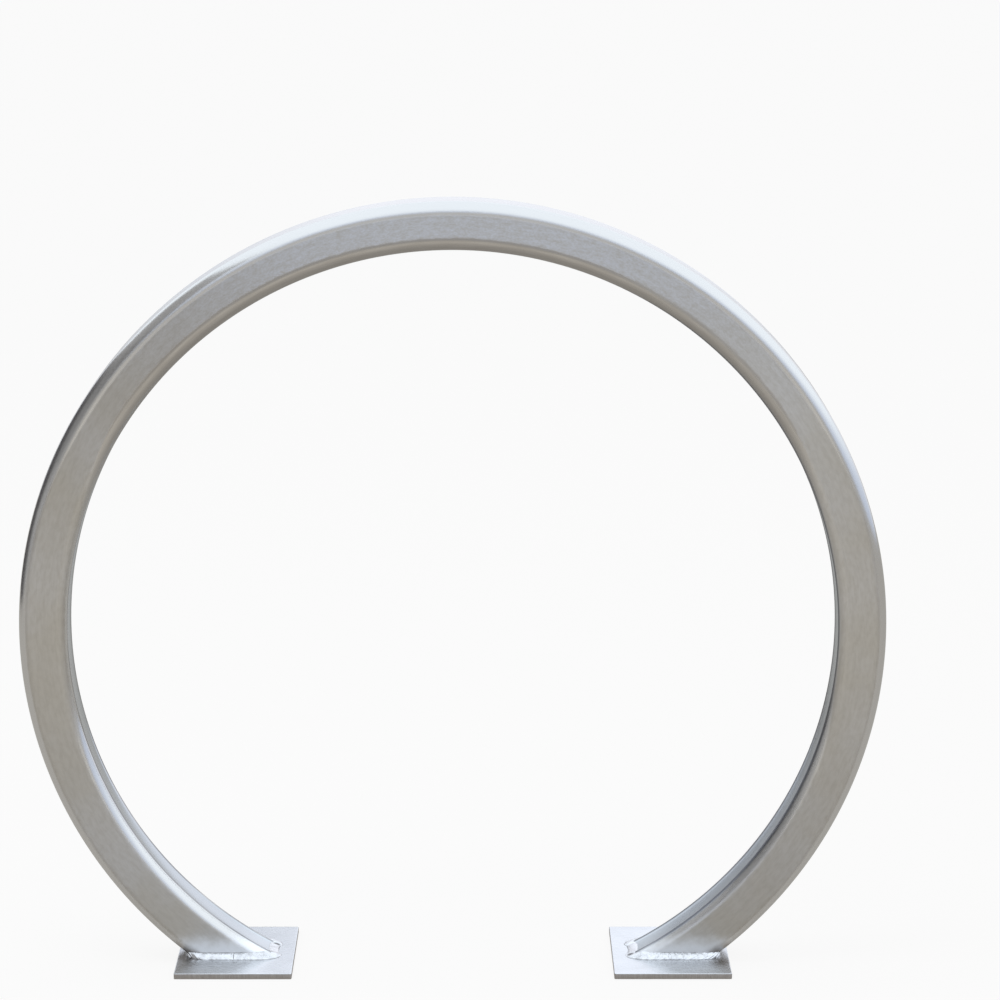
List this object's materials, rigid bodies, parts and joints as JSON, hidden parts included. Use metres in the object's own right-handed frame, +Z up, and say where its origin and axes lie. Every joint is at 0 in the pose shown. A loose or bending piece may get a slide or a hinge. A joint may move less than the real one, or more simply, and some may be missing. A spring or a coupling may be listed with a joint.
{
  "type": "hoop bike rack",
  "caption": "Free-standing hoop of square steel tube rolled into most of a circle and fillet-welded upright on flat rectangular foot plates, for leaning and locking a bicycle.",
  "frame": {"origin": "on the ground, midway between the two foot plates, in the middle plane of the hoop", "axes": "+X along the hoop's width, +Y through the hoop from front to back, +Z up"},
  "size_m": [0.9142, 0.146, 0.8229],
  "materials": {
    "tube_steel": "brushed satin, grain along the tube",
    "plate_steel": "bright rolled sheet, near mirror",
    "weld_steel": "bright wire-brushed weld metal"
  },
  "bodies": {
    "root": {"hoop_tube": "tube_steel", "left_base_plate": "plate_steel", "right_base_plate": "plate_steel", "left_front_weld": "weld_steel", "left_back_weld": "weld_steel", "left_toe_weld": "weld_steel", "left_heel_weld": "weld_steel", "right_front_weld": "weld_steel", "right_back_weld": "weld_steel", "right_toe_weld": "weld_steel", "right_heel_weld": "weld_steel"}
  },
  "joints": []
}
